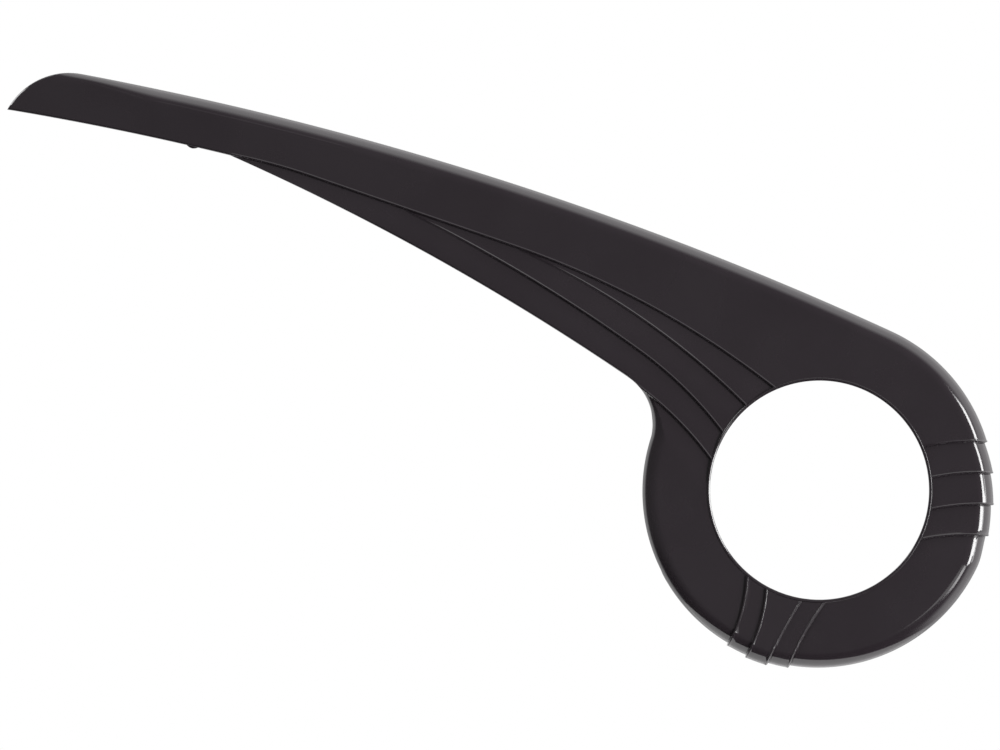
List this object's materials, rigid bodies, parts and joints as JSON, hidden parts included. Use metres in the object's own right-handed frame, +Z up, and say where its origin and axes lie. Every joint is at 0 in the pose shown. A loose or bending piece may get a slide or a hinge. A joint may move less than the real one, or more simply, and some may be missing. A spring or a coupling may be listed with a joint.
{
  "type": "bicycle chain guard",
  "caption": "Moulded black plastic bicycle chain guard: a ring round the crank with a deep rim, and a long stepped arm that covers the upper chain run and ends in a pointed tail.",
  "frame": {"origin": "centre of the crank opening, in the plane of the flat outer face", "axes": "+X forwards along the bicycle, +Z up, +Y inwards to the bicycle along the crank axis, so the outer face looks along -Y"},
  "size_m": [0.5073, 0.0305, 0.306],
  "materials": {
    "black_plastic": "satin gloss, moulded in black"
  },
  "bodies": {
    "root": {"chain_guard": "black_plastic"}
  },
  "joints": []
}
